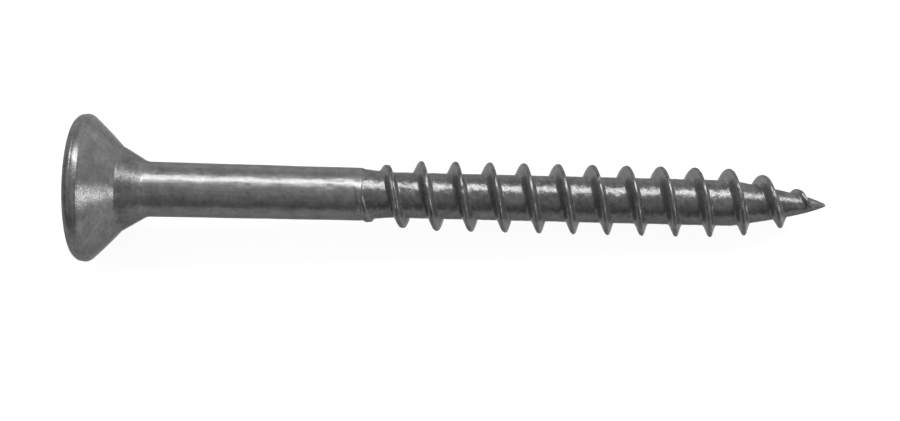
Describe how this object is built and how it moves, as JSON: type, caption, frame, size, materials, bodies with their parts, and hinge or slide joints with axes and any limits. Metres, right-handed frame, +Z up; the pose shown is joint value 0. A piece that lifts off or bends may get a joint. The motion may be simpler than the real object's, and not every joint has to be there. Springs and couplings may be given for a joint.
{
  "type": "wood screw",
  "caption": "Countersunk steel wood screw with a plain shank, a coarse right-hand thread and a sharp point; the thread bites into timber and the head sits flush.",
  "frame": {"origin": "centre of the head's flat face, on the screw's axis", "axes": "+X along the screw's axis from the head to the point; +Z up as the screw lies on its side; the drive recess opens towards -X"},
  "size_m": [0.055, 0.011, 0.011],
  "materials": {
    "formed_steel": "cold-formed grey steel, faint turning marks",
    "drawn_steel": "drawn wire, smooth, faint lengthwise marks",
    "rolled_steel": "thread-rolled steel, burnished crests, grainy roots"
  },
  "bodies": {
    "root": {"head": "formed_steel", "neck": "formed_steel", "shank": "drawn_steel", "run_in": "rolled_steel", "thread_core": "rolled_steel", "thread": "rolled_steel", "point": "rolled_steel", "point_thread": "rolled_steel"}
  },
  "joints": []
}
